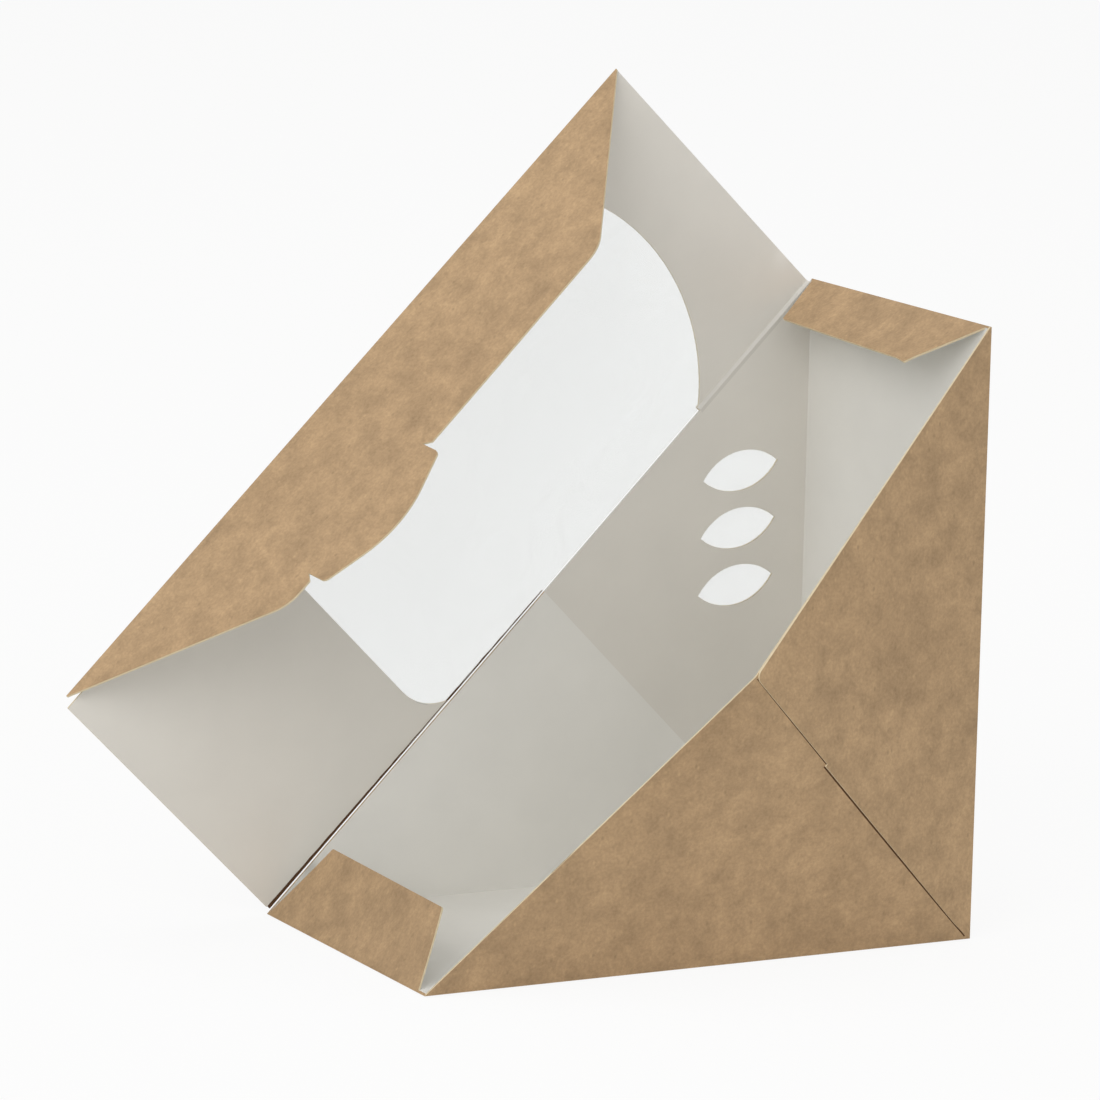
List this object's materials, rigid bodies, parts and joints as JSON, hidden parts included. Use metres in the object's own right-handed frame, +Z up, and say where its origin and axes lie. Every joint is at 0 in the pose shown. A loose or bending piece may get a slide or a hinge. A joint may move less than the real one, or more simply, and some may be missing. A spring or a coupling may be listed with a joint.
{
  "type": "sandwich wedge pack",
  "caption": "Front-loading folding wedge carton in kraft board with a windowed hinged lid, a tuck flap with a locking tab, and lens-shaped side windows.",
  "frame": {"origin": "centre of the bottom panel's outer face, where the pack stands", "axes": "+Z up, -X towards the mouth, +Y towards the side that carries the lid"},
  "size_m": [0.1678, 0.0805, 0.1667],
  "materials": {
    "kraft_board": "uncoated brown kraft board",
    "white_lined_board": "matt white lining, brown kraft on the outside",
    "clear_film": "clear"
  },
  "bodies": {
    "carton": {"carton_body": "kraft_board", "side_window_film_1": "clear_film", "side_window_film_2": "clear_film", "side_window_film_3": "clear_film"},
    "lid": {"lid": "white_lined_board", "lid_window_film": "clear_film"},
    "tuck_flap": {"tuck_flap": "kraft_board"}
  },
  "joints": [
    {"name": "lid_hinge", "type": "hinge", "parent": "carton", "child": "lid", "pos_m": [-0.0615, 0.033, 0], "axis": [-0.6984, 0, -0.7157], "range_deg": [-90, 90]},
    {"name": "tuck_fold", "type": "hinge", "parent": "lid", "child": "tuck_flap", "pos_m": [0.01223, 0.0333, 0.16812], "axis": [-0.6984, 0, -0.7157], "range_deg": [-50, 100]}
  ]
}
